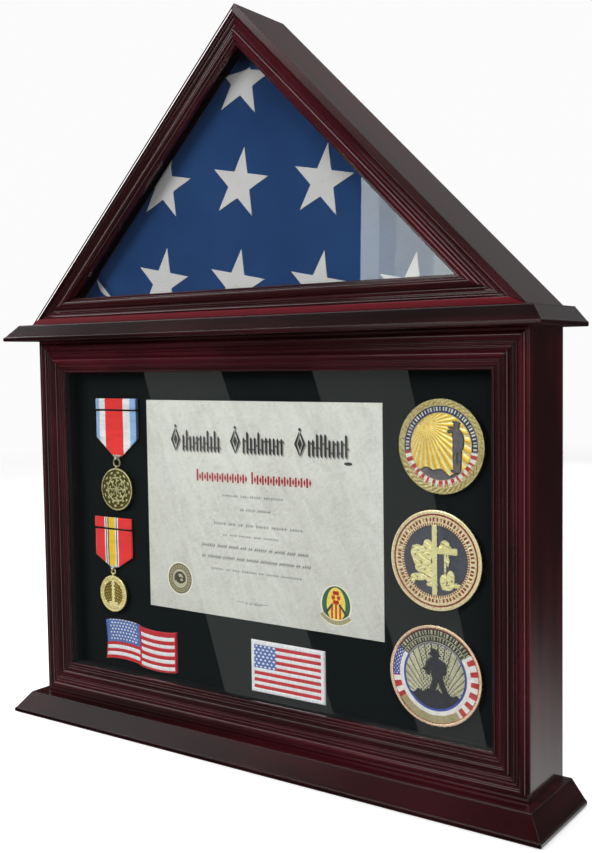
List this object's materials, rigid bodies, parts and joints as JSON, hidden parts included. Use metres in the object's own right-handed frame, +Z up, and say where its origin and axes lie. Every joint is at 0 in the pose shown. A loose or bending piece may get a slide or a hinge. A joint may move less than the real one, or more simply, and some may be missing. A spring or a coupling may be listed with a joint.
{
  "type": "folded flag display case",
  "caption": "Triangular glazed flag case standing on a glazed shadow box with a moulded base, dark cherry finish, rear panels held by turn buttons.",
  "frame": {"origin": "centre of the bounding box on the surface that the base stands on", "axes": "+Z up, +X to the viewer's right, -Y towards the viewer (the glazed front faces -Y)"},
  "size_m": [0.4658, 0.0794, 0.5385],
  "materials": {
    "cherry_wood": "dark cherry stain under satin lacquer",
    "clear_glass": "clear 2 mm float glass",
    "dark_liner": "dark stained, matte",
    "black_felt": "short black felt",
    "fibreboard": "raw fibreboard",
    "plain_softwood": "planed, unfinished",
    "hardboard": "dark brown hardboard, smooth side out",
    "flag_cotton": "navy woven cotton with off-white stars",
    "parchment_paper": "mottled light grey parchment paper",
    "coin_antique_brass": "struck antique brass with soft enamel",
    "coin_gold": "struck bright gold plate with soft enamel",
    "coin_rose_gold": "struck rose gold plate with soft enamel",
    "ribbon_upper": "ribbed ribbon, light blue, white and red stripes",
    "ribbon_lower": "ribbed ribbon, red with white, black and yellow stripes",
    "brooch_steel": "plated steel",
    "medal_bronze": "antique bronze",
    "medal_gilt": "bright gilt",
    "embroidery": "satin-stitch embroidery",
    "brassed_steel": "brass-plated, satin",
    "screw_steel": "zinc-plated steel"
  },
  "bodies": {
    "case": {"base_board": "cherry_wood", "base_moulding_front": "cherry_wood", "base_moulding_left": "cherry_wood", "base_moulding_right": "cherry_wood", "base_screws": "screw_steel", "board_cleats": "plain_softwood", "box_bottom_board": "cherry_wood", "box_side_left": "cherry_wood", "box_side_right": "cherry_wood", "box_top_board": "cherry_wood", "certificate": "parchment_paper", "coin_lower": "coin_rose_gold", "coin_middle": "coin_gold", "coin_upper": "coin_antique_brass", "display_back_panel": "hardboard", "display_board": "fibreboard", "display_felt": "black_felt", "display_glass": "clear_glass", "flag_back_panel": "hardboard", "flag_case_floor": "cherry_wood", "flag_case_roof_left": "cherry_wood", "flag_case_roof_right": "cherry_wood", "flag_frame_bottom": "cherry_wood", "flag_frame_left": "cherry_wood", "flag_frame_right": "cherry_wood", "flag_glass": "clear_glass", "flag_glass_stops": "dark_liner", "flag_patch": "embroidery", "folded_flag": "flag_cotton", "front_rail_bottom": "cherry_wood", "front_rail_top": "cherry_wood", "front_stile_left": "cherry_wood", "front_stile_right": "cherry_wood", "medal_brooch_lower": "brooch_steel", "medal_brooch_upper": "brooch_steel", "medal_ribbon_lower": "ribbon_lower", "medal_ribbon_upper": "ribbon_upper", "shelf_board": "cherry_wood", "shelf_moulding_front": "cherry_wood", "shelf_moulding_left": "cherry_wood", "shelf_moulding_right": "cherry_wood", "shelf_screws": "screw_steel", "spacer_bottom": "dark_liner", "spacer_left": "dark_liner", "spacer_right": "dark_liner", "spacer_top": "dark_liner", "turn_button_screws": "screw_steel", "wavy_flag_patch": "embroidery"},
    "turn_button_1": {"turn_button_1": "brassed_steel"},
    "turn_button_2": {"turn_button_2": "brassed_steel"},
    "turn_button_3": {"turn_button_3": "brassed_steel"},
    "turn_button_4": {"turn_button_4": "brassed_steel"},
    "turn_button_5": {"turn_button_5": "brassed_steel"},
    "turn_button_6": {"turn_button_6": "brassed_steel"},
    "turn_button_7": {"turn_button_7": "brassed_steel"},
    "medal_pendant_upper": {"medal_ring_upper": "medal_bronze", "medal_disc_upper": "medal_bronze"},
    "medal_pendant_lower": {"medal_ring_lower": "medal_gilt", "medal_disc_lower": "medal_gilt"}
  },
  "joints": [
    {"name": "turn_button_1_pivot", "type": "hinge", "parent": "case", "child": "turn_button_1", "pos_m": [-0.2116, 0.0373, 0.08912], "axis": [0, 1, 0], "continuous": true},
    {"name": "turn_button_2_pivot", "type": "hinge", "parent": "case", "child": "turn_button_2", "pos_m": [-0.2116, 0.0373, 0.23538], "axis": [0, 1, 0], "continuous": true},
    {"name": "turn_button_3_pivot", "type": "hinge", "parent": "case", "child": "turn_button_3", "pos_m": [0.2116, 0.0373, 0.08912], "axis": [0, 1, 0], "continuous": true},
    {"name": "turn_button_4_pivot", "type": "hinge", "parent": "case", "child": "turn_button_4", "pos_m": [0.2116, 0.0373, 0.23538], "axis": [0, 1, 0], "continuous": true},
    {"name": "turn_button_5_pivot", "type": "hinge", "parent": "case", "child": "turn_button_5", "pos_m": [-0.10574, 0.0373, 0.42724], "axis": [0, 1, 0], "continuous": true},
    {"name": "turn_button_6_pivot", "type": "hinge", "parent": "case", "child": "turn_button_6", "pos_m": [0.10574, 0.0373, 0.42724], "axis": [0, 1, 0], "continuous": true},
    {"name": "turn_button_7_pivot", "type": "hinge", "parent": "case", "child": "turn_button_7", "pos_m": [0, 0.0373, 0.3254], "axis": [0, 1, 0], "continuous": true},
    {"name": "medal_upper_swing", "type": "hinge", "parent": "case", "child": "medal_pendant_upper", "pos_m": [-0.142, -0.00355, 0.2098], "axis": [0, 1, 0], "range_deg": [-45, 45]},
    {"name": "medal_lower_swing", "type": "hinge", "parent": "case", "child": "medal_pendant_lower", "pos_m": [-0.1486, -0.00355, 0.1207], "axis": [0, 1, 0], "range_deg": [-45, 45]}
  ]
}
